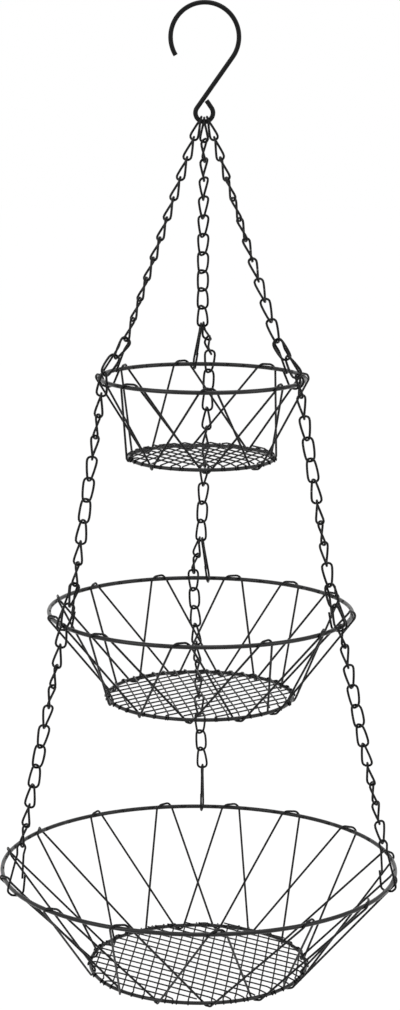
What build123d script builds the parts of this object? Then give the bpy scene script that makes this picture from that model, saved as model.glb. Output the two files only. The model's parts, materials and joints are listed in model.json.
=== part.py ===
"""Hanging basket in three tiers: a wire hook, three chains of twisted links and three round wire baskets.

The origin is the top of the inside of the hook's bend, where it bears on whatever holds it.
Z points up, X to the right and Y to the back, and everything hangs below the origin.
"""

from build123d import *
from math import asin, cos, degrees, radians, sin, sqrt, tan
import os

os.makedirs("parts", exist_ok=True)

# Hook: one wire with a wide open bend above and a small tear-shaped eye below
hook_wire = 3.5
hook_bend_radius = 24.8
hook_eye_radius = 6.4
hook_centre_drop = 54.4
hook_tip_angle = 212

# Chain link: a wire ring with butted ends, twisted from its crest to its foot
link_wire = 1.8
link_twist = 50
link_pitch = 15.6
link_width = 9.5
link_crest_width = 4.4
link_shoulder_height = 2.85
link_play = 0.3
link_butt_gap = 0.4

# Links on the eye, fanned out along the inside of its wire
eye_link_spread = 36
eye_link_lean = 20
back_chain_turn = 30

# Hanger: a pear of wire from a link of the chain down round the rim
hanger_wire = 1.5
hanger_head_width = 6.0
hanger_neck_width = 4.6
hanger_bulb_width = 12.0
hanger_side_lean = 6.0
hanger_turn = 8
hanger_butt_gap = 0.4

# Wires of a basket
rim_wire = 3.2
base_wire = 2.8
side_wire = 1.5
net_wire = 1.2
wire_clearance = 0.2

# Loops of a side wire over the rim and under the base ring
rim_loop_width = 13.0
base_loop_width = 7.0
side_wire_butt_gap = 0.8
rim_loop_shares = ((1, 0, -1), (0.62, 1.1, -0.55), (-0.62, 1.1, 0.55), (-1, 0, 1))
base_loop_shares = ((1, 0, -1), (0.5, 1, -0.5), (-0.5, 1, 0.5), (-1, 0, 1))

# Flat net in the bottom of a basket
net_spacing = 8.6
net_crossing_angle = 60
net_seat_gap = 0.05
net_leg_gap = 0.5
net_edge_share = 0.25

# Way of a chain past the outside of a rim, beside the hanger
rim_pass_gap = 0.3
rim_pass_side = 6.0
rim_pass_turn = 30
links_beside_hanger = 2

# Sizes of the top basket
top_rim_radius = 76.5
top_base_radius = 54.0
top_depth = 60.0
top_hanger_length = 34.7
top_links = 10

# Sizes of the middle basket
middle_rim_radius = 114.5
middle_base_radius = 70.2
middle_depth = 66.0
middle_hanger_length = 33.0
middle_links = 10

# Sizes of the bottom basket
bottom_rim_radius = 151.0
bottom_base_radius = 83.5
bottom_depth = 78.7
bottom_hanger_length = 36.5
bottom_links = 11

# Corners of the wire sections, and straight chords in the round bends
wire_corners = 6
link_corners = 4
ring_chords = 48
hook_bend_chords = 24
hook_eye_chords = 15

# Tiers from the top down, with the angles round the middle axis at which wires and chains stand
sides = ("left", "back", "right")
tiers = (
    dict(
        name="top",
        rim=top_rim_radius,
        base=top_base_radius,
        depth=top_depth,
        hanger=top_hanger_length,
        links=top_links,
        chain_angles=(207, 90, 330),
        chain_half_turns=0,
        pass_signs=(1, -1, -1),
        loop_angles=(5, 50, 102, 141, 185, 227, 273, 317),
        net_angle=66,
    ),
    dict(
        name="middle",
        rim=middle_rim_radius,
        base=middle_base_radius,
        depth=middle_depth,
        hanger=middle_hanger_length,
        links=middle_links,
        chain_angles=(212, 90, 330),
        chain_half_turns=1,
        pass_signs=(1, 1, -1),
        loop_angles=(27, 52, 77, 107, 137, 163, 197, 230, 263, 294, 321, 354),
        net_angle=40,
    ),
    dict(
        name="bottom",
        rim=bottom_rim_radius,
        base=bottom_base_radius,
        depth=bottom_depth,
        hanger=bottom_hanger_length,
        links=bottom_links,
        chain_angles=(205, 89, 341),
        chain_half_turns=1,
        pass_signs=(0, 0, 0),
        loop_angles=(11, 37, 60, 80, 101, 124, 148, 169, 194, 225, 248, 275, 302, 326, 349),
        net_angle=85,
    ),
)

# Places that follow from the sizes
bend_centre_height = hook_wire / 2 - hook_bend_radius
eye_centre_height = bend_centre_height - hook_centre_drop
crest_offset = (link_wire + link_play) / 2
crest_span = link_pitch + 2 * crest_offset
eye_crest_radius = hook_eye_radius - (hook_wire + link_wire) / 2 - link_play
rim_pass_offset = (rim_wire + link_width) / 2 + rim_pass_gap
head_share_offset = (link_wire + hanger_wire) / 4 + link_play
beside_length = links_beside_hanger * link_pitch


def around(angle, radius, height, along=0.0):
    """Point at an angle round the middle axis, then moved along the ring there."""
    a = radians(angle)
    return Vector(radius * cos(a) - along * sin(a), radius * sin(a) + along * cos(a), height)


def arc_corners(centre, radius, first_angle, turn, chords, rise=Vector(0, 1, 0)):
    """Corners of equal chords that lie on average on an arc, whose angles go from X towards rise."""
    chord_angle = turn / chords
    corner_radius = radius / cos(radians(chord_angle / 4)) ** 2
    angles = [radians(first_angle + chord_angle * i) for i in range(chords + 1)]
    return [centre + (Vector(cos(a), 0, 0) + rise * sin(a)) * corner_radius for a in angles]


def bent_wire(points, diameter, corners, closed=False):
    """Wire with mitred bends between straight runs."""
    with BuildPart() as wire:
        with BuildLine() as path:
            Polyline(*points, close=closed)
        with BuildSketch(Plane(origin=path.wire() @ 0, z_dir=path.wire() % 0)):
            RegularPolygon(diameter / 2, corners)
        sweep(transition=Transition.RIGHT)
    return wire.part


def save(name, part):
    """Name a finished piece and write it to a file of its own."""
    part.label = name
    export_step(part, f"parts/{name}.step")


# Ceiling hook: bend, straight shank on the inner tangent of both circles, then the eye
bend_end_angle = -degrees(asin((hook_bend_radius + hook_eye_radius) / hook_centre_drop))
up = Vector(0, 0, 1)
bend_turn = bend_end_angle - hook_tip_angle
bend = arc_corners(
    up * bend_centre_height, hook_bend_radius, hook_tip_angle, bend_turn, hook_bend_chords, up
)
eye_turn = 180 - 2 * bend_end_angle
eye = arc_corners(
    up * eye_centre_height, hook_eye_radius, bend_end_angle + 180, eye_turn, hook_eye_chords, up
)
# The eye's tip leans against the shank as much as the shank leans to it, and stops short of its wire
tip_lean = radians(-bend_end_angle)
tip_stop = (hook_wire / 2 * (1 + cos(2 * tip_lean)) + wire_clearance) / sin(2 * tip_lean)
tip_length = hook_eye_radius / tan(tip_lean) - tip_stop
eye_tip = eye[-1] + Vector(-sin(tip_lean), 0, cos(tip_lean)) * tip_length
save("ceiling_hook", bent_wire([*bend, *eye, eye_tip], hook_wire, wire_corners))


def link_outline():
    """Centre line of a link along Z: crest along X at the top, turned by the twist at the foot.

    The legs wind round the link's axis, half way at the middle, where one of them has the butted ends.
    """
    half_width = (link_width - link_wire) / 2
    half_crest = link_crest_width / 2
    half_length = crest_span / 2
    shoulder = half_length - link_shoulder_height
    half_gap = link_butt_gap / 2
    crest = Vector(1, 0, 0)
    foot = crest.rotate(Axis.Z, link_twist)
    leg_middle = crest.rotate(Axis.Z, link_twist / 2) * half_width
    return (
        leg_middle + up * half_gap,
        crest * half_width + up * shoulder,
        crest * half_crest + up * half_length,
        crest * -half_crest + up * half_length,
        crest * -half_width + up * shoulder,
        leg_middle * -1,
        foot * -half_width - up * shoulder,
        foot * -half_crest - up * half_length,
        foot * half_crest - up * half_length,
        foot * half_width - up * shoulder,
        leg_middle - up * half_gap,
    )


link = bent_wire(link_outline(), link_wire, link_corners)


def link_place(top, foot, crest_angle):
    """Place of a link between two joints of the chain, with its top crest towards crest_angle."""
    axis = (top - foot).normalized()
    crest = around(crest_angle, 1, 0)
    return Plane(origin=(top + foot) / 2, x_dir=crest - axis * crest.dot(axis), z_dir=axis)


def run_places(top, foot, count, first_angle, last_angle):
    """Places of links in a straight run, whose crests turn evenly from the first to the last."""
    step = (foot - top) / count
    turn = (last_angle - first_angle) / max(count - 1, 1)
    return [link_place(top + step * i, top + step * (i + 1), first_angle + turn * i) for i in range(count)]


def turned_back(start, angle, half_turns):
    """The crest direction of angle, by a turn from start against the twist of the links.

    So the wires of two links cross at no less than the angle of the twist where they meet.
    """
    return start - (start - angle) % 180 - half_turns * 180


def chain(name, places):
    """Links at their places, each a solid of its own."""
    with BuildPart() as run:
        with Locations(*[place.location for place in places]):
            add(link)
    save(name, run.part)


def hanger(name, head, foot, facing_angle):
    """Pear of wire, its head in a link at the joint and its bulb round the rim's centre at the foot.

    Its cut ends butt in the leg that stands nearer to the middle axis.
    """
    axis = (head - foot).normalized()
    inward = around(facing_angle, -1, 0)
    inward = (inward - axis * inward.dot(axis)).normalized()
    top = (head - foot).length - crest_offset + (link_wire + hanger_wire) / 2 + link_play
    bottom = -(rim_wire + hanger_wire) / 2 - wire_clearance
    head_half = hanger_head_width / 2
    neck_half = hanger_neck_width / 2
    bulb_half = hanger_bulb_width / 2
    neck = top - hanger_head_width
    butt = neck / 2
    butt_half = neck_half + (bulb_half - neck_half) * (neck - butt) / (neck - bulb_half / 2)
    half_gap = hanger_butt_gap / 2
    outline = (
        (butt_half, butt + half_gap),
        (neck_half, neck),
        (head_half, top - head_half),
        (head_half / 2, top),
        (-head_half / 2, top),
        (-head_half, top - head_half),
        (-neck_half, neck),
        (-bulb_half, bulb_half / 2),
        (-bulb_half, 0),
        (-bulb_half / 2, bottom),
        (bulb_half / 2, bottom),
        (bulb_half, 0),
        (bulb_half, bulb_half / 2),
        (butt_half, butt - half_gap),
    )
    points = [foot + inward * across + axis * along for across, along in outline]
    save(name, bent_wire(points, hanger_wire, wire_corners))


def ring(name, radius, diameter, height):
    """Closed ring of wire."""
    corners = arc_corners(Vector(0, 0, height), radius, 0, 360, ring_chords)
    save(name, bent_wire(corners[1:], diameter, wire_corners, closed=True))


def rim_loop(tier, rim_height, angle):
    """Bends of a side wire from outside the rim, over it and down inside."""
    wall = sqrt(1 + ((tier["rim"] - tier["base"]) / tier["depth"]) ** 2)
    reach = (rim_wire + side_wire) / 2 + wire_clearance
    half = rim_loop_width / 2
    return [
        around(angle, tier["rim"] + out * wall * reach, rim_height + rise * reach, along * half)
        for out, rise, along in rim_loop_shares
    ]


def base_loop(tier, rim_height, angle):
    """Bends of a side wire from inside the base ring, under it and up outside."""
    wall = sqrt(1 + ((tier["rim"] - tier["base"]) / tier["depth"]) ** 2)
    reach = (base_wire + side_wire) / 2 + wire_clearance
    half = base_loop_width / 2
    height = rim_height - tier["depth"]
    return [
        around(angle, tier["base"] - into * wall * reach, height - drop * reach, along * half)
        for into, drop, along in base_loop_shares
    ]


def side_wire_piece(name, tier, rim_height, first, shift):
    """Zigzag of wire once round a basket: even steps loop over the rim, odd ones under the base ring.

    Its ends butt in the middle of a leg, with each other or with the ends of the tier's other wire.
    """
    angles = tier["loop_angles"]
    count = len(angles)

    def loop(step):
        bends = base_loop if step % 2 else rim_loop
        return bends(tier, rim_height, angles[(step + shift) % count])

    points = [point for step in range(first, first + count) for point in loop(step)]
    before = loop(first - 1)[-1]
    after = loop(first + count)[0]
    start_gap = (points[0] - before).normalized() * (side_wire_butt_gap / 2)
    end_gap = (after - points[-1]).normalized() * (side_wire_butt_gap / 2)
    start = (before + points[0]) / 2 + start_gap
    end = (points[-1] + after) / 2 - end_gap
    save(name, bent_wire([start, *points, end], side_wire, wire_corners))


def bar_reach(tier, rim_height, angle, across, level, sign):
    """Length of a net wire from its middle to the base ring, or short of a leg in its way."""
    reach = sqrt(tier["base"] ** 2 - across**2)
    margin = (net_wire + side_wire) / 2 + net_leg_gap
    angles = tier["loop_angles"]
    for i in range(len(angles)):
        top = rim_loop(tier, rim_height, angles[i - 1])[-1]
        foot = base_loop(tier, rim_height, angles[i])[0]
        leg = foot + (top - foot) * ((level - foot.Z) / (top.Z - foot.Z))
        along = leg.dot(around(angle, sign, 0))
        if along > 0 and abs(leg.dot(around(angle, 0, 0, 1)) - across) < margin:
            reach = min(reach, along - margin)
    return reach


def net(name, tier, rim_height):
    """Flat net on the base ring: two layers of straight wires that cross aslant."""
    seat = rim_height - tier["depth"] + base_wire / 2 + net_seat_gap
    each_way = int(tier["base"] / net_spacing - net_edge_share)
    with BuildPart() as wires:
        for layer in (0, 1):
            angle = tier["net_angle"] + layer * net_crossing_angle
            level = seat + net_wire / 2 + layer * (net_wire + net_seat_gap)
            for i in range(-each_way, each_way + 1):
                across = i * net_spacing
                ahead = bar_reach(tier, rim_height, angle, across, level, 1)
                behind = bar_reach(tier, rim_height, angle, across, level, -1)
                start = around(angle, -behind, level, across)
                with BuildSketch(Plane(origin=start, x_dir=(0, 0, 1), z_dir=around(angle, 1, 0))):
                    RegularPolygon(net_wire / 2, wire_corners)
                extrude(amount=ahead + behind)
    save(name, wires.part)


# Eye links side by side on the eye, with the joints at their feet
eye_places = []
starts = []
for sign in (-1, 0, 1):
    spread = radians(sign * eye_link_spread)
    lean = radians(sign * eye_link_lean)
    crest = Vector(eye_crest_radius * sin(spread), 0, eye_centre_height - eye_crest_radius * cos(spread))
    down = Vector(sin(lean), 0, -cos(lean))
    head = crest + down * crest_offset
    starts.append(head + down * link_pitch)
    eye_places.append(link_place(head, starts[-1], 90))
chain("hook_links", eye_places)

# Tiers from the top down: each hangs by three runs of links from the one above
start_radius = 0
start_height = starts[1].Z
start_angles = [90, 90 - back_chain_turn, 90]
upper = None
beside = []
for tier in tiers:
    name = tier["name"]
    run = tier["links"] * link_pitch + tier["hanger"]
    lean = asin((tier["rim"] - start_radius) / run)
    rim_height = start_height - run * cos(lean)
    head_radius = tier["rim"] - tier["hanger"] * sin(lean)
    head_height = rim_height + tier["hanger"] * cos(lean)
    pass_radius = tier["rim"] + rim_pass_offset
    pass_run = (pass_radius - head_radius, rim_pass_side - head_share_offset)
    pass_height = head_height - sqrt(beside_length**2 - pass_run[0] ** 2 - pass_run[1] ** 2)
    print(f"{name} rim at {rim_height:.3f}, base ring at {rim_height - tier['depth']:.3f}")

    next_starts = []
    next_beside = []
    for i, side in enumerate(sides):
        angle = tier["chain_angles"][i]
        sign = tier["pass_signs"][i]
        head = around(angle, head_radius, head_height)
        # The last link's foot, in which the hanger's head turns, lies along the ring
        last_angle = turned_back(start_angles[i], angle + 90 - link_twist, tier["chain_half_turns"])
        places = run_places(starts[i], head, tier["links"], start_angles[i], last_angle)
        if upper:
            chain(f"{upper}_carry_{side}", [*beside[i], places.pop(0)])
        chain(f"{name}_chain_{side}", places)
        first_joint = places[0].origin + places[0].z_dir * (link_pitch / 2)
        print(f"{name} {side} first joint {first_joint}, head joint {head}")

        foot = around(angle, tier["rim"], rim_height, -sign * hanger_side_lean)
        hanger_head = head + around(angle, 0, 0, -sign * head_share_offset)
        hanger(f"{name}_hanger_{side}", hanger_head, foot, angle - (sign or 1) * hanger_turn)

        past = around(angle, pass_radius, pass_height, sign * rim_pass_side)
        share = around(angle, 0, 0, sign * head_share_offset)
        next_starts.append(past)
        turned = angle - rim_pass_turn
        next_beside.append(run_places(head + share, past, links_beside_hanger, angle, turned))

    ring(f"{name}_rim", tier["rim"], rim_wire, rim_height)
    ring(f"{name}_base_ring", tier["base"], base_wire, rim_height - tier["depth"])
    # Each of two wires closes on itself, or with an odd count of loops one goes on where the other ends
    count = len(tier["loop_angles"])
    side_wire_piece(f"{name}_side_wire_a", tier, rim_height, 0, 0)
    side_wire_piece(f"{name}_side_wire_b", tier, rim_height, count, 1 - count % 2)
    net(f"{name}_net", tier, rim_height)

    upper = name
    beside = next_beside
    starts = next_starts
    start_angles = [angle - 90 for angle in tier["chain_angles"]]
    start_radius = pass_radius
    start_height = pass_height
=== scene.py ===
"""Hanging basket in three tiers, dressed: painted wire, chains of twisted links and crossed-wire nets.

The object's sizes are millimetres until a line of points becomes a mesh, which is in metres, as the
studio's sizes are.
"""
import json
from math import asin, atan2, cos, degrees, pi, radians, sin, sqrt, tan

import bpy
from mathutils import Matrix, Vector


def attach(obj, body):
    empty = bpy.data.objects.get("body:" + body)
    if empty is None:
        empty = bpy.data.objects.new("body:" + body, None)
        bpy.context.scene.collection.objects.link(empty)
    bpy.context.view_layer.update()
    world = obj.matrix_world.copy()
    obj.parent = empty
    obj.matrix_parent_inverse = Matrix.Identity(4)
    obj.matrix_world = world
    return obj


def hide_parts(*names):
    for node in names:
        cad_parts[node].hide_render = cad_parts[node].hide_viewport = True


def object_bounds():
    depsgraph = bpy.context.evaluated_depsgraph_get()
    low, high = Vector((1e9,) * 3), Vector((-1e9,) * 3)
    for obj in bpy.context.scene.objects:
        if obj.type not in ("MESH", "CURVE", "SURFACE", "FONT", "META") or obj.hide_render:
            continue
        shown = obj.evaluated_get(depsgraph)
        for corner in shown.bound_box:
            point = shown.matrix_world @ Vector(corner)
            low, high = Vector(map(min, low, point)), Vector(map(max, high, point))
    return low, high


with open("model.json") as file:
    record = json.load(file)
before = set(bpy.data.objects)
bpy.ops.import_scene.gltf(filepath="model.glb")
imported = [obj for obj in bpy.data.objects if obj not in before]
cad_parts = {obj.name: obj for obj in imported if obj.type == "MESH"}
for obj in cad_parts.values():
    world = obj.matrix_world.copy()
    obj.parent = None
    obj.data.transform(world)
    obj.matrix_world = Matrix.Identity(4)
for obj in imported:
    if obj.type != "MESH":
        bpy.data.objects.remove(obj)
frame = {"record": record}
cad_low, cad_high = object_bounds()

MM = 0.001

# Ceiling hook
hook_wire = 3.5
hook_bend_radius = 24.8
hook_eye_radius = 6.4
hook_centre_drop = 54.4
hook_tip_angle = 212
hook_eye_gap = 0.2

# Chain links
link_wire = 1.8
link_twist = 50
link_pitch = 15.6
link_width = 9.5
link_play = 0.3
link_butt_gap = 0.1
link_end_power = 2.5
link_end_steps = 8
link_leg_steps = 4
wind_start_share = 0.4
eye_link_spread = 36
eye_link_lean = 20
back_chain_turn = 30

# Hangers
hanger_wire = 1.5
hanger_head_width = 6.4
hanger_neck_width = 4.8
hanger_bulb_width = 12.0
hanger_side_lean = 6.0
hanger_turn = 8
hanger_end_lap = 3.0
hanger_end_side = 0.85
hanger_neck_share = 1.25
hanger_lap_share = 0.42
hanger_head_side_share = 0.8
hanger_head_flat_share = 0.55
hanger_foot_flat_share = 0.45
hanger_neck_bend = 9.0
hanger_head_side_bend = 2.4
hanger_head_bend = 1.8
hanger_bulb_bend = 8.0
hanger_foot_bend = 3.0

# Wires of a basket
rim_wire = 3.2
base_wire = 2.8
side_wire = 1.5
net_wire = 1.2
rim_loop_width = 13.0
base_loop_width = 7.0
side_wire_butt_gap = 0.2
rim_loop_shares = ((1, 0, -1), (0.62, 1.1, -0.55), (-0.62, 1.1, 0.55), (-1, 0, 1))
base_loop_shares = ((1, 0, -1), (0.5, 1, -0.5), (-0.5, 1, 0.5), (-1, 0, 1))
wrap_gap = 0.1
rim_loop_bend = 4.5
base_loop_bend = 2.6

# Bend radius given to the two ends of a wire, where nothing bends
cut_end_bend = 1.0

# Paint on side wires and hangers, which adds this much to each side of the wire
thin_wire_coat = 0.1

# Nets
net_spacing = 8.6
net_crossing_angle = 60
net_leg_gap = 0.5
net_edge_share = 0.25
net_end_ramp = 6.0
net_ramp_bend = 6.0
net_shoulder_bend = 2.5
net_curl_angles = (62, 12)
net_curl_end = -28

# Way of a chain past the outside of a rim
rim_pass_gap = 0.3
rim_pass_side = 6.0
rim_pass_turn = 30
links_beside_hanger = 2

sides = ("left", "back", "right")
tiers = (
    dict(
        name="top",
        rim=76.5,
        base=54.0,
        depth=60.0,
        hanger=34.7,
        links=10,
        chain_angles=(207, 90, 330),
        chain_half_turns=0,
        pass_signs=(1, -1, -1),
        loop_angles=(5, 50, 102, 141, 185, 227, 273, 317),
        net_angle=66,
    ),
    dict(
        name="middle",
        rim=114.5,
        base=70.2,
        depth=66.0,
        hanger=33.0,
        links=10,
        chain_angles=(212, 90, 330),
        chain_half_turns=1,
        pass_signs=(1, 1, -1),
        loop_angles=(27, 52, 77, 107, 137, 163, 197, 230, 263, 294, 321, 354),
        net_angle=40,
    ),
    dict(
        name="bottom",
        rim=151.0,
        base=83.5,
        depth=78.7,
        hanger=36.5,
        links=11,
        chain_angles=(205, 89, 341),
        chain_half_turns=1,
        pass_signs=(0, 0, 0),
        loop_angles=(11, 37, 60, 80, 101, 124, 148, 169, 194, 225, 248, 275, 302, 326, 349),
        net_angle=85,
    ),
)

# Places that follow from the sizes
bend_centre_height = hook_wire / 2 - hook_bend_radius
eye_centre_height = bend_centre_height - hook_centre_drop
crest_offset = (link_wire + link_play) / 2
crest_span = link_pitch + 2 * crest_offset
eye_crest_radius = hook_eye_radius - (hook_wire + link_wire) / 2 - link_play
rim_pass_offset = (rim_wire + link_width) / 2 + rim_pass_gap
head_share_offset = (link_wire + hanger_wire) / 4 + link_play
beside_length = links_beside_hanger * link_pitch


def linear(hex_colour):
    """Scene-linear colour of an sRGB hex value."""
    shares = [int(hex_colour[i:i + 2], 16) / 255 for i in (1, 3, 5)]
    return [s / 12.92 if s <= 0.04045 else ((s + 0.055) / 1.055) ** 2.4 for s in shares] + [1]


def node(tree, kind, inputs=None, **settings):
    """Add a node; each input is a plain value or another node's output."""
    made = tree.nodes.new(kind)
    for name, value in settings.items():
        setattr(made, name, value)
    for key, value in (inputs or {}).items():
        if isinstance(value, bpy.types.NodeSocket):
            tree.links.new(value, made.inputs[key])
        else:
            made.inputs[key].default_value = value
    return made


# Finishes

paint_patch = 9.0
paint_peel_depth = 0.05

# Noise values between which patches turn dull and the sheen changes, and what that does to roughness
dull_patch_values = (0.62, 0.72)
sheen_patch_values = (0.3, 0.7)
sheen_changes = (-0.05, 0.09)


def painted_wire(name, colour, worn_colour, roughness, gloss, peel_mm, worn_share):
    """Paint baked on steel wire: near-black colour, satin sheen, fine orange peel and dull patches."""
    material = bpy.data.materials.new(name)
    material.use_nodes = True
    tree = material.node_tree
    tree.nodes.clear()
    place = node(tree, "ShaderNodeTexCoord").outputs["Object"]
    peel = node(
        tree,
        "ShaderNodeTexNoise",
        {"Vector": place, "Scale": 1 / (peel_mm * MM), "Detail": 2.0, "Roughness": 0.5},
    )
    patches = node(
        tree,
        "ShaderNodeTexNoise",
        {"Vector": place, "Scale": 1 / (paint_patch * MM), "Detail": 4.0, "Roughness": 0.6},
    )
    dull = node(
        tree,
        "ShaderNodeMapRange",
        {
            "Value": patches.outputs["Fac"],
            "From Min": dull_patch_values[0] - worn_share,
            "From Max": dull_patch_values[1],
            "To Min": 0.0,
            "To Max": 1.0,
        },
    )
    tint = node(
        tree,
        "ShaderNodeMix",
        {"Factor": dull.outputs["Result"], "A": linear(colour), "B": linear(worn_colour)},
        data_type="RGBA",
    )
    sheen = node(
        tree,
        "ShaderNodeMapRange",
        {
            "Value": patches.outputs["Fac"],
            "From Min": sheen_patch_values[0],
            "From Max": sheen_patch_values[1],
            "To Min": roughness + sheen_changes[0],
            "To Max": roughness + sheen_changes[1],
        },
    )
    bump = node(
        tree,
        "ShaderNodeBump",
        {"Height": peel.outputs["Fac"], "Strength": 0.25, "Distance": paint_peel_depth * MM},
    )
    paint = node(
        tree,
        "ShaderNodeBsdfPrincipled",
        {
            "Base Color": tint.outputs["Result"],
            "Roughness": sheen.outputs["Result"],
            "IOR": 1.5,
            "Specular IOR Level": gloss,
            "Normal": bump.outputs["Normal"],
        },
    )
    node(tree, "ShaderNodeOutputMaterial", {"Surface": paint.outputs["BSDF"]})
    return material


# Powder coat on the thick wires: even and satin, with a soft grey light along the top of each ring
hook_paint = painted_wire(
    "satin black powder coat on hook wire",
    "#0b0b0c",
    "#131314",
    roughness=0.3,
    gloss=0.14,
    peel_mm=0.6,
    worn_share=0.02,
)
rim_paint = painted_wire(
    "satin black powder coat on ring wire",
    "#0c0c0d",
    "#151516",
    roughness=0.25,
    gloss=0.33,
    peel_mm=0.6,
    worn_share=0.05,
)
# Dipped enamel on the links: thinner and a little glossier, dull in scattered patches
chain_paint = painted_wire(
    "black dipped enamel on chain links",
    "#0b0b0c",
    "#19191a",
    roughness=0.28,
    gloss=0.16,
    peel_mm=0.4,
    worn_share=0.1,
)
# Powder coat on thin wires, a little lighter in colour on the side wires and nets than on the rings
hanger_paint = painted_wire(
    "satin black powder coat on hanger wire",
    "#0c0c0d",
    "#18181a",
    roughness=0.32,
    gloss=0.16,
    peel_mm=0.4,
    worn_share=0.05,
)
side_wire_paint = painted_wire(
    "satin black powder coat on side wire",
    "#0e0e0f",
    "#1a1a1b",
    roughness=0.34,
    gloss=0.18,
    peel_mm=0.4,
    worn_share=0.06,
)
net_paint = painted_wire(
    "satin black powder coat on net wire",
    "#111112",
    "#1e1e20",
    roughness=0.36,
    gloss=0.2,
    peel_mm=0.3,
    worn_share=0.08,
)


# Trees that turn lines into wire


def new_tree(name, inputs):
    """Geometry tree with named inputs, given as name to socket kind."""
    tree = bpy.data.node_groups.new(name, "GeometryNodeTree")
    tree.interface.new_socket("Lines", in_out="INPUT", socket_type="NodeSocketGeometry")
    for label, kind in inputs.items():
        tree.interface.new_socket(label, in_out="INPUT", socket_type=kind)
    tree.interface.new_socket("Wire", in_out="OUTPUT", socket_type="NodeSocketGeometry")
    return tree, node(tree, "NodeGroupInput").outputs


def finish_tree(tree, geometry, material):
    """Smooth shading, real geometry and the finish, at the end of a tree."""
    smooth = node(tree, "GeometryNodeSetShadeSmooth", {"Geometry": geometry})
    real = node(tree, "GeometryNodeRealizeInstances", {"Geometry": smooth.outputs["Geometry"]})
    painted = node(
        tree, "GeometryNodeSetMaterial", {"Geometry": real.outputs["Geometry"], "Material": material}
    )
    node(tree, "NodeGroupOutput", {"Wire": painted.outputs["Geometry"]})


def tube(tree, line, diameter, corners):
    """Round wire along a curve, with cut ends."""
    radius = node(tree, "ShaderNodeMath", {0: diameter, 1: 0.5}, operation="MULTIPLY")
    section = node(
        tree,
        "GeometryNodeCurvePrimitiveCircle",
        {"Resolution": corners, "Radius": radius.outputs["Value"]},
        mode="RADIUS",
    )
    return node(
        tree,
        "GeometryNodeCurveToMesh",
        {"Curve": line, "Profile Curve": section.outputs["Curve"], "Fill Caps": True},
    ).outputs["Mesh"]


def bent_wire_tree():
    """Lines of points, rounded at each point by its own bend radius, as round wire."""
    tree, given = new_tree(
        "bent wire",
        {
            "Wire diameter": "NodeSocketFloat",
            "Corners of the section": "NodeSocketInt",
            "Steps in a bend": "NodeSocketInt",
            "Finish": "NodeSocketMaterial",
        },
    )
    line = node(tree, "GeometryNodeMeshToCurve", {"Mesh": given["Lines"]})
    bend = node(tree, "GeometryNodeInputNamedAttribute", {"Name": "bend"}, data_type="FLOAT")
    rounded = node(
        tree,
        "GeometryNodeFilletCurve",
        {
            "Curve": line.outputs["Curve"],
            "Count": given["Steps in a bend"],
            "Radius": bend.outputs["Attribute"],
            "Limit Radius": True,
        },
        mode="POLY",
    )
    wire = tube(tree, rounded.outputs["Curve"], given["Wire diameter"], given["Corners of the section"])
    finish_tree(tree, wire, given["Finish"])
    return tree


def link_run_tree():
    """One link for each point, turned to the point's own axis and crest directions."""
    tree, given = new_tree(
        "links of a chain",
        {
            "Link line": "NodeSocketObject",
            "Wire diameter": "NodeSocketFloat",
            "Corners of the section": "NodeSocketInt",
            "Finish": "NodeSocketMaterial",
        },
    )
    line = node(tree, "GeometryNodeObjectInfo", {"Object": given["Link line"]}, transform_space="ORIGINAL")
    curve = node(tree, "GeometryNodeMeshToCurve", {"Mesh": line.outputs["Geometry"]})
    link = tube(tree, curve.outputs["Curve"], given["Wire diameter"], given["Corners of the section"])
    axis = node(tree, "GeometryNodeInputNamedAttribute", {"Name": "axis"}, data_type="FLOAT_VECTOR")
    crest = node(tree, "GeometryNodeInputNamedAttribute", {"Name": "crest"}, data_type="FLOAT_VECTOR")
    turn = node(
        tree,
        "FunctionNodeAxesToRotation",
        {"Primary Axis": axis.outputs["Attribute"], "Secondary Axis": crest.outputs["Attribute"]},
        primary_axis="Z",
        secondary_axis="X",
    )
    points = node(tree, "GeometryNodeMeshToPoints", {"Mesh": given["Lines"]})
    links = node(
        tree,
        "GeometryNodeInstanceOnPoints",
        {
            "Points": points.outputs["Points"],
            "Instance": link,
            "Rotation": turn.outputs["Rotation"],
        },
    )
    finish_tree(tree, links.outputs["Instances"], given["Finish"])
    return tree


bent_wire = bent_wire_tree()
link_run = link_run_tree()


def bare_object(name, points, edges=(), **attributes):
    """Object of bare points and edges in metres, with attributes on its points."""
    mesh = bpy.data.meshes.new(name)
    mesh.from_pydata([point * MM for point in points], edges, [])
    for label, (kind, field, values) in attributes.items():
        flat = [part for value in values for part in value]
        mesh.attributes.new(label, kind, "POINT").data.foreach_set(field, flat)
    made = bpy.data.objects.new(name, mesh)
    bpy.context.scene.collection.objects.link(made)
    return made


def dressed(piece, tree, inputs, cad_node):
    """Run a tree on a piece, keep the result as its plain mesh, and let it stand for its CAD node."""
    modifier = piece.modifiers.new(tree.name, "NODES")
    modifier.node_group = tree
    for socket in tree.interface.items_tree:
        if socket.in_out == "INPUT" and socket.name in inputs:
            modifier[socket.identifier] = inputs[socket.name]
    ready = piece.evaluated_get(bpy.context.evaluated_depsgraph_get())
    mesh = bpy.data.meshes.new_from_object(ready)
    mesh.name = piece.name
    piece.modifiers.remove(modifier)
    piece.data = mesh
    body = next(b for b, nodes in frame["record"]["behaviour"]["bodies"].items() if cad_node in nodes)
    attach(piece, body)
    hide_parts(cad_node)


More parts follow.
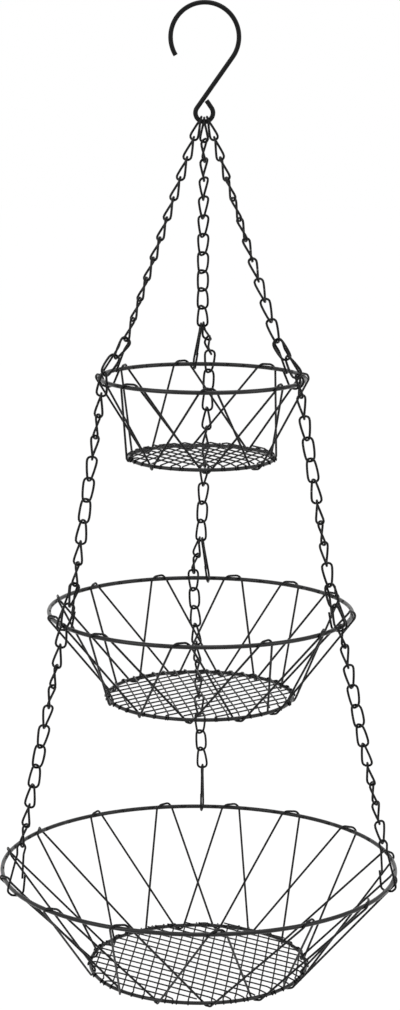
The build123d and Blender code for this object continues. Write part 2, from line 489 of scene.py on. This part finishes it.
def wire_piece(cad_node, lines, diameter, corners, steps, finish, closed=False):
    """Piece of round wire along lines, each a list of points with their bend radii."""
    points = []
    edges = []
    for line in lines:
        first = len(points)
        points += line
        edges += [(i, i + 1) for i in range(first, len(points) - 1)]
        if closed:
            edges.append((len(points) - 1, first))
    bends = [[bend * MM] for _, bend in points]
    piece = bare_object(
        f"{cad_node}_wire", [point for point, _ in points], edges, bend=("FLOAT", "value", bends)
    )
    inputs = {
        "Wire diameter": diameter * MM,
        "Corners of the section": corners,
        "Steps in a bend": steps,
        "Finish": finish,
    }
    dressed(piece, bent_wire, inputs, cad_node)


def around(angle, radius, height, along=0.0):
    """Point at an angle round the middle axis, then moved along the ring there."""
    a = radians(angle)
    return Vector((radius * cos(a) - along * sin(a), radius * sin(a) + along * cos(a), height))


# Ceiling hook


def arc(centre_height, radius, first_angle, turn, chords):
    """Corners of equal chords round an arc in the hook's plane, each rounded to the arc."""
    step = radians(turn / chords)
    reach = radius / cos(step / 2)
    first = radians(first_angle) + step / 2
    angles = [first + step * i for i in range(chords)]
    return [
        (Vector((reach * cos(a), 0, centre_height + reach * sin(a))), radius) for a in angles
    ]


def build_hook():
    """One wire: open bend, straight shank and tear-shaped eye, whose end rises to the shank."""
    lean = asin((hook_bend_radius + hook_eye_radius) / hook_centre_drop)
    bend_end = -degrees(lean)
    tip = radians(hook_tip_angle)
    tip_point = Vector((hook_bend_radius * cos(tip), 0, bend_centre_height + hook_bend_radius * sin(tip)))
    end_stop = (hook_wire / 2 * (1 + cos(2 * lean)) + hook_eye_gap) / sin(2 * lean)
    end_length = hook_eye_radius / tan(lean) - end_stop
    leave = Vector((hook_eye_radius * cos(lean), 0, eye_centre_height + hook_eye_radius * sin(lean)))
    end_point = leave + Vector((-sin(lean), 0, cos(lean))) * end_length
    line = [
        (tip_point, cut_end_bend),
        *arc(bend_centre_height, hook_bend_radius, hook_tip_angle, bend_end - hook_tip_angle, chords=10),
        *arc(eye_centre_height, hook_eye_radius, bend_end + 180, 180 - 2 * bend_end, chords=8),
        (end_point, cut_end_bend),
    ]
    wire_piece("ceiling_hook", [line], hook_wire, corners=20, steps=8, finish=hook_paint)


# Chains


def link_line():
    """Centre line of a link along Z, whose legs wind round its axis between its two round ends."""
    half_width = (link_width - link_wire) / 2
    end_centre = crest_span / 2 - half_width
    wind_start = end_centre + half_width * wind_start_share
    half_gap = link_butt_gap / 2
    crest = []
    for i in range(link_end_steps + 1):
        a = pi * i / link_end_steps
        across = half_width * abs(cos(a)) ** (2 / link_end_power) * (1 if cos(a) > 0 else -1)
        rise = half_width * abs(sin(a)) ** (2 / link_end_power)
        crest.append((across, end_centre + rise))
    foot = [(-across, -rise) for across, rise in crest]
    whole_leg = [(-half_width, end_centre * (1 - i / link_leg_steps)) for i in range(1, 2 * link_leg_steps)]
    leg_above_cut = [(half_width, end_centre * i / link_leg_steps) for i in range(1, link_leg_steps)]
    leg_below_cut = [(half_width, -end_centre * (1 - i / link_leg_steps)) for i in range(1, link_leg_steps)]
    outline = [
        (half_width, half_gap),
        *leg_above_cut,
        *crest,
        *whole_leg,
        *foot,
        *leg_below_cut,
        (half_width, -half_gap),
    ]
    points = []
    for across, rise in outline:
        wound = radians(link_twist) * min(max((wind_start - rise) / (2 * wind_start), 0), 1)
        points.append(Vector((across * cos(wound), across * sin(wound), rise)))
    edges = [(i, i + 1) for i in range(len(points) - 1)]
    return bare_object("link line", points, edges)


link = link_line()


def link_place(top, foot, crest_angle):
    """Middle, axis and crest direction of a link between two joints of its chain."""
    axis = (top - foot).normalized()
    crest = around(crest_angle, 1, 0)
    return (top + foot) / 2, axis, (crest - axis * crest.dot(axis)).normalized()


def run_places(top, foot, count, first_angle, last_angle):
    """Places of links in a straight run, whose crests turn evenly from the first to the last."""
    step = (foot - top) / count
    turn = (last_angle - first_angle) / max(count - 1, 1)
    return [link_place(top + step * i, top + step * (i + 1), first_angle + turn * i) for i in range(count)]


def turned_back(start, angle, half_turns):
    """The crest direction of angle, by a turn from start against the twist of the links."""
    return start - (start - angle) % 180 - half_turns * 180


def chain_piece(cad_node, places):
    """Links at their places."""
    piece = bare_object(
        f"{cad_node}_run",
        [place[0] for place in places],
        axis=("FLOAT_VECTOR", "vector", [place[1] for place in places]),
        crest=("FLOAT_VECTOR", "vector", [place[2] for place in places]),
    )
    inputs = {
        "Link line": link,
        "Wire diameter": link_wire * MM,
        "Corners of the section": 10,
        "Finish": chain_paint,
    }
    dressed(piece, link_run, inputs, cad_node)


# Baskets


def hanger_piece(cad_node, head, foot, facing_angle):
    """Pear of wire from the chain round the rim, whose cut ends lap in the leg nearer to the middle."""
    axis = (head - foot).normalized()
    inward = around(facing_angle, -1, 0)
    inward = (inward - axis * inward.dot(axis)).normalized()
    top = (head - foot).length - crest_offset + (link_wire + hanger_wire) / 2 + link_play
    bottom = -(rim_wire + hanger_wire) / 2 - wrap_gap
    head_half = hanger_head_width / 2
    neck_half = hanger_neck_width / 2
    bulb_half = hanger_bulb_width / 2
    neck = top - hanger_head_width * hanger_neck_share
    lap = neck * hanger_lap_share
    lap_half = neck_half + (bulb_half - neck_half) * (neck - lap) / (neck - bulb_half / 2)
    head_flat = head_half * hanger_head_flat_share
    head_side = top - head_half * hanger_head_side_share
    foot_flat = bulb_half * hanger_foot_flat_share
    outline = (
        (lap_half - hanger_end_side, lap - hanger_end_lap / 2, cut_end_bend),
        (neck_half, neck, hanger_neck_bend),
        (head_half, head_side, hanger_head_side_bend),
        (head_flat, top, hanger_head_bend),
        (-head_flat, top, hanger_head_bend),
        (-head_half, head_side, hanger_head_side_bend),
        (-neck_half, neck, hanger_neck_bend),
        (-bulb_half, bulb_half / 2, hanger_bulb_bend),
        (-bulb_half, 0, hanger_foot_bend),
        (-foot_flat, bottom, hanger_foot_bend),
        (foot_flat, bottom, hanger_foot_bend),
        (bulb_half, 0, hanger_foot_bend),
        (bulb_half, bulb_half / 2, hanger_bulb_bend),
        (lap_half + hanger_end_side, lap + hanger_end_lap / 2, cut_end_bend),
    )
    line = [(foot + inward * across + axis * along, bend) for across, along, bend in outline]
    coated = hanger_wire + 2 * thin_wire_coat
    wire_piece(cad_node, [line], coated, corners=10, steps=4, finish=hanger_paint)


def ring_piece(cad_node, radius, diameter, height):
    """Closed ring of wire."""
    chords = 36
    reach = radius / cos(pi / chords)
    line = [(around(360 * i / chords, reach, height), radius) for i in range(chords)]
    wire_piece(
        cad_node, [line], diameter, corners=16, steps=5, finish=rim_paint, closed=True
    )


def wall_share(tier):
    """Length of the slanting wall over the depth of the basket."""
    return sqrt(1 + ((tier["rim"] - tier["base"]) / tier["depth"]) ** 2)


def rim_loop(tier, rim_height, angle):
    """Bends of a side wire from outside the rim, over it and down inside."""
    reach = (rim_wire + side_wire) / 2 + wrap_gap
    half = rim_loop_width / 2
    return [
        around(angle, tier["rim"] + out * wall_share(tier) * reach, rim_height + rise * reach, along * half)
        for out, rise, along in rim_loop_shares
    ]


def base_loop(tier, rim_height, angle):
    """Bends of a side wire from inside the base ring, under it and up outside."""
    reach = (base_wire + side_wire) / 2 + wrap_gap
    half = base_loop_width / 2
    height = rim_height - tier["depth"]
    return [
        around(angle, tier["base"] - into * wall_share(tier) * reach, height - drop * reach, along * half)
        for into, drop, along in base_loop_shares
    ]


def side_wire_piece(cad_node, tier, rim_height, first, shift):
    """Zigzag of wire once round a basket: even steps loop over the rim, odd ones under the base ring."""
    angles = tier["loop_angles"]
    count = len(angles)

    def loop(step):
        bends = base_loop if step % 2 else rim_loop
        return bends(tier, rim_height, angles[(step + shift) % count])

    bend_radii = (rim_loop_bend, base_loop_bend)
    line = [
        (point, bend_radii[step % 2]) for step in range(first, first + count) for point in loop(step)
    ]
    before = loop(first - 1)[-1]
    after = loop(first + count)[0]
    start = line[0][0]
    end = line[-1][0]
    start_end = (before + start) / 2 + (start - before).normalized() * side_wire_butt_gap / 2
    end_end = (end + after) / 2 - (after - end).normalized() * side_wire_butt_gap / 2
    line = [(start_end, cut_end_bend), *line, (end_end, cut_end_bend)]
    coated = side_wire + 2 * thin_wire_coat
    wire_piece(cad_node, [line], coated, corners=10, steps=4, finish=side_wire_paint)


def bar_reach(tier, rim_height, angle, across, level, sign):
    """Length of a net wire from its middle to the base ring, or short of a leg in its way."""
    reach = sqrt(tier["base"] ** 2 - across**2)
    margin = (net_wire + side_wire) / 2 + net_leg_gap
    angles = tier["loop_angles"]
    for i in range(len(angles)):
        top = rim_loop(tier, rim_height, angles[i - 1])[-1]
        foot = base_loop(tier, rim_height, angles[i])[0]
        leg = foot + (top - foot) * ((level - foot.z) / (top.z - foot.z))
        along = leg.dot(around(angle, sign, 0))
        if along > 0 and abs(leg.dot(around(angle, 0, 0, 1)) - across) < margin:
            reach = min(reach, along - margin)
    return reach


def net_end(tier, ring_height, angle, across, level, reach, sign):
    """End of a net wire: curled round the base ring, or cut where a side wire is in its way."""
    free = sqrt(tier["base"] ** 2 - across**2)
    if reach < free:
        return [(around(angle, sign * reach, level, across), cut_end_bend)]
    curl = (base_wire + net_wire) / 2
    top = ring_height + curl
    ramp = (around(angle, sign * (free - net_end_ramp), level, across), net_ramp_bend)
    crossing = around(angle, sign * free, top, across)
    crossing_angle = degrees(atan2(crossing.y, crossing.x))
    apart = [abs((crossing_angle - a + 180) % 360 - 180) for a in tier["loop_angles"]]
    if radians(min(apart)) * tier["base"] < base_loop_width / 2 + net_wire:
        return [ramp, (crossing, cut_end_bend)]
    corner = curl / cos(radians(net_curl_angles[0] - net_curl_angles[1]) / 2)
    line = [ramp, (around(crossing_angle, tier["base"] - curl / 2, top), net_shoulder_bend)]
    for a in net_curl_angles:
        rise = radians(a)
        point = around(crossing_angle, tier["base"] + corner * cos(rise), ring_height + corner * sin(rise))
        line.append((point, curl))
    rise = radians(net_curl_end)
    last = around(crossing_angle, tier["base"] + curl * cos(rise), ring_height + curl * sin(rise))
    return [*line, (last, cut_end_bend)]


def net_piece(cad_node, tier, rim_height):
    """Flat net on the base ring: two layers of wires that cross aslant."""
    ring_height = rim_height - tier["depth"]
    each_way = int(tier["base"] / net_spacing - net_edge_share)
    lines = []
    for layer in (0, 1):
        angle = tier["net_angle"] + layer * net_crossing_angle
        level = ring_height + (base_wire + net_wire) / 2 + layer * net_wire
        for i in range(-each_way, each_way + 1):
            across = i * net_spacing
            behind = bar_reach(tier, rim_height, angle, across, level, -1)
            ahead = bar_reach(tier, rim_height, angle, across, level, 1)
            start = net_end(tier, ring_height, angle, across, level, behind, -1)
            end = net_end(tier, ring_height, angle, across, level, ahead, 1)
            lines.append([*reversed(start), *end])
    wire_piece(cad_node, lines, net_wire, corners=8, steps=2, finish=net_paint)


def build_eye_links():
    """Links fanned out on the hook's eye; gives the joints at their feet."""
    places = []
    feet = []
    for sign in (-1, 0, 1):
        spread = radians(sign * eye_link_spread)
        lean = radians(sign * eye_link_lean)
        crest = Vector(
            (eye_crest_radius * sin(spread), 0, eye_centre_height - eye_crest_radius * cos(spread))
        )
        down = Vector((sin(lean), 0, -cos(lean)))
        head = crest + down * crest_offset
        feet.append(head + down * link_pitch)
        places.append(link_place(head, feet[-1], 90))
    chain_piece("hook_links", places)
    return feet


def build_basket(tier, rim_height):
    """Rings, side wires and net of one basket."""
    name = tier["name"]
    ring_piece(f"{name}_rim", tier["rim"], rim_wire, rim_height)
    ring_piece(f"{name}_base_ring", tier["base"], base_wire, rim_height - tier["depth"])
    count = len(tier["loop_angles"])
    side_wire_piece(f"{name}_side_wire_a", tier, rim_height, 0, 0)
    side_wire_piece(f"{name}_side_wire_b", tier, rim_height, count, 1 - count % 2)
    net_piece(f"{name}_net", tier, rim_height)


def build_tiers(starts):
    """Each tier from the top down: its chains, hangers and basket; gives the last rim's height."""
    start_radius = 0
    start_height = starts[1].z
    start_angles = [90, 90 - back_chain_turn, 90]
    upper = None
    beside = []
    for tier in tiers:
        name = tier["name"]
        run = tier["links"] * link_pitch + tier["hanger"]
        lean = asin((tier["rim"] - start_radius) / run)
        rim_height = start_height - run * cos(lean)
        head_radius = tier["rim"] - tier["hanger"] * sin(lean)
        head_height = rim_height + tier["hanger"] * cos(lean)
        pass_radius = tier["rim"] + rim_pass_offset
        pass_run = (pass_radius - head_radius, rim_pass_side - head_share_offset)
        pass_height = head_height - sqrt(beside_length**2 - pass_run[0] ** 2 - pass_run[1] ** 2)
        next_starts = []
        next_beside = []
        for i, side in enumerate(sides):
            angle = tier["chain_angles"][i]
            sign = tier["pass_signs"][i]
            head = around(angle, head_radius, head_height)
            last_angle = turned_back(start_angles[i], angle + 90 - link_twist, tier["chain_half_turns"])
            places = run_places(starts[i], head, tier["links"], start_angles[i], last_angle)
            if upper:
                chain_piece(f"{upper}_carry_{side}", [*beside[i], places.pop(0)])
            chain_piece(f"{name}_chain_{side}", places)
            share = around(angle, 0, 0, sign * head_share_offset)
            foot = around(angle, tier["rim"], rim_height, -sign * hanger_side_lean)
            hanger_piece(f"{name}_hanger_{side}", head - share, foot, angle - (sign or 1) * hanger_turn)
            past = around(angle, pass_radius, pass_height, sign * rim_pass_side)
            next_starts.append(past)
            turned = angle - rim_pass_turn
            next_beside.append(run_places(head + share, past, links_beside_hanger, angle, turned))
        build_basket(tier, rim_height)
        upper = name
        beside = next_beside
        starts = next_starts
        start_angles = [angle - 90 for angle in tier["chain_angles"]]
        start_radius = pass_radius
        start_height = pass_height
    return rim_height


build_hook()
bottom_rim_height = build_tiers(build_eye_links())
bpy.data.objects.remove(link)


# Studio

camera_distance = 1.899
camera_side = -0.0036
camera_over_bottom_rim = 0.647
camera_pitch = 10.85
camera_roll = -0.4
photo_focal_pixels = 2577.6
photo_height_pixels = 1010
world_light = 0.45
world_seen = 1.0
floor_below_object = 0.32
floor_half = 12
floor_glow = 1.15
floor_glow_share = 0.8


def build_camera():
    """Camera at the photograph's place, looking down a little."""
    lens = bpy.data.cameras.new("camera")
    lens.lens = photo_focal_pixels / photo_height_pixels * lens.sensor_width
    camera = bpy.data.objects.new("camera", lens)
    bpy.context.scene.collection.objects.link(camera)
    camera.location = (camera_side, -camera_distance, bottom_rim_height * MM + camera_over_bottom_rim)
    camera.rotation_euler = (radians(90 - camera_pitch), radians(camera_roll), 0)
    bpy.context.scene.camera = camera


def seen_share(tree):
    """1 where a camera, glossy or transmission ray looks, otherwise 0."""
    path = node(tree, "ShaderNodeLightPath").outputs
    glossy = node(
        tree,
        "ShaderNodeMath",
        {0: path["Is Camera Ray"], 1: path["Is Glossy Ray"]},
        operation="MAXIMUM",
    )
    return node(
        tree,
        "ShaderNodeMath",
        {0: glossy.outputs["Value"], 1: path["Is Transmission Ray"]},
        operation="MAXIMUM",
    ).outputs["Value"]


def build_world():
    """Even soft light, seen as plain white."""
    world = bpy.data.worlds.new("studio")
    world.use_nodes = True
    tree = world.node_tree
    tree.nodes.clear()
    strength = node(
        tree,
        "ShaderNodeMapRange",
        {"Value": seen_share(tree), "To Min": world_light, "To Max": world_seen},
    )
    light = node(
        tree,
        "ShaderNodeBackground",
        {"Color": linear("#ffffff"), "Strength": strength.outputs["Result"]},
    )
    node(tree, "ShaderNodeOutputWorld", {"Surface": light.outputs["Background"]})
    bpy.context.scene.world = world


def build_floor():
    """Plain matt floor, pale in the light that it throws back and seen as white."""
    material = bpy.data.materials.new("matt white studio floor")
    material.use_nodes = True
    tree = material.node_tree
    tree.nodes.clear()
    matt = node(tree, "ShaderNodeBsdfDiffuse", {"Color": linear("#f4f4f4")})
    glow = node(tree, "ShaderNodeEmission", {"Color": linear("#ffffff"), "Strength": floor_glow})
    share = node(
        tree,
        "ShaderNodeMapRange",
        {"Value": seen_share(tree), "To Min": 0.0, "To Max": floor_glow_share},
    )
    mixed = node(
        tree,
        "ShaderNodeMixShader",
        {0: share.outputs["Result"], 1: matt.outputs["BSDF"], 2: glow.outputs["Emission"]},
    )
    node(tree, "ShaderNodeOutputMaterial", {"Surface": mixed.outputs["Shader"]})
    height = cad_low.z - floor_below_object
    mesh = bpy.data.meshes.new("floor")
    corners = [(x * floor_half, y * floor_half, height) for x, y in ((-1, -1), (1, -1), (1, 1), (-1, 1))]
    mesh.from_pydata(corners, [], [(0, 1, 2, 3)])
    mesh.materials.append(material)
    floor = bpy.data.objects.new("floor", mesh)
    bpy.context.scene.collection.objects.link(floor)


def build_softbox(name, place, width, height, power):
    """Rectangular soft light that faces the middle of the object."""
    lamp = bpy.data.lights.new(name, "AREA")
    lamp.shape = "RECTANGLE"
    lamp.size = width
    lamp.size_y = height
    lamp.energy = power
    light = bpy.data.objects.new(name, lamp)
    bpy.context.scene.collection.objects.link(light)
    middle = (cad_low + cad_high) / 2
    light.location = middle + Vector(place)
    light.rotation_euler = (-Vector(place)).to_track_quat("-Z", "Y").to_euler()


build_camera()
build_world()
build_floor()
build_softbox("overhead softbox", (0.2, -0.5, 2.0), width=1.4, height=1.4, power=16)
build_softbox("left softbox", (-1.7, -1.5, 0.8), width=1.0, height=1.6, power=12)
build_softbox("right softbox", (1.9, -1.1, 0.5), width=0.8, height=1.4, power=6)

scene = bpy.context.scene
scene.view_settings.view_transform = "Standard"
